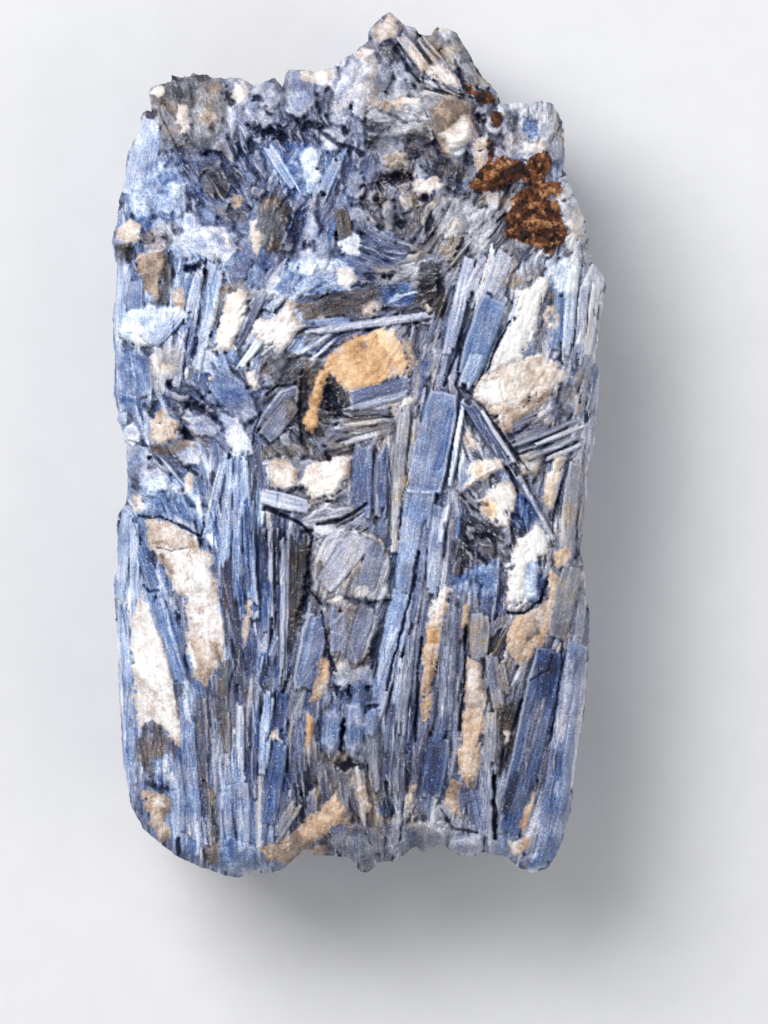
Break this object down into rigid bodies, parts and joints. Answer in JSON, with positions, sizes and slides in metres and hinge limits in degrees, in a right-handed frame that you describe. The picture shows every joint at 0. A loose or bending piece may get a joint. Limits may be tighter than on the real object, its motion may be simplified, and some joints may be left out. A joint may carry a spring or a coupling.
{
  "type": "kyanite blade cluster mineral specimen",
  "caption": "Oblong hand specimen of upright, interlocking kyanite blades grown together with quartz, mica and iron oxide, lying on its flat broken back.",
  "frame": {"origin": "on the resting plane, under the middle of the specimen's bounding box", "axes": "+Z out of the bladed face, +Y along the blades towards the ragged crest, +X across the blades to the right"},
  "size_m": [0.0741, 0.1299, 0.0409],
  "materials": {
    "kyanite": "pearly, lightly striated",
    "quartz": "granular, satin",
    "sandy_quartz": "granular, matt",
    "mica_schist": "flaky, satin",
    "iron_oxide": "earthy, matt"
  },
  "bodies": {
    "root": {"kyanite_cluster": "kyanite"}
  },
  "joints": []
}
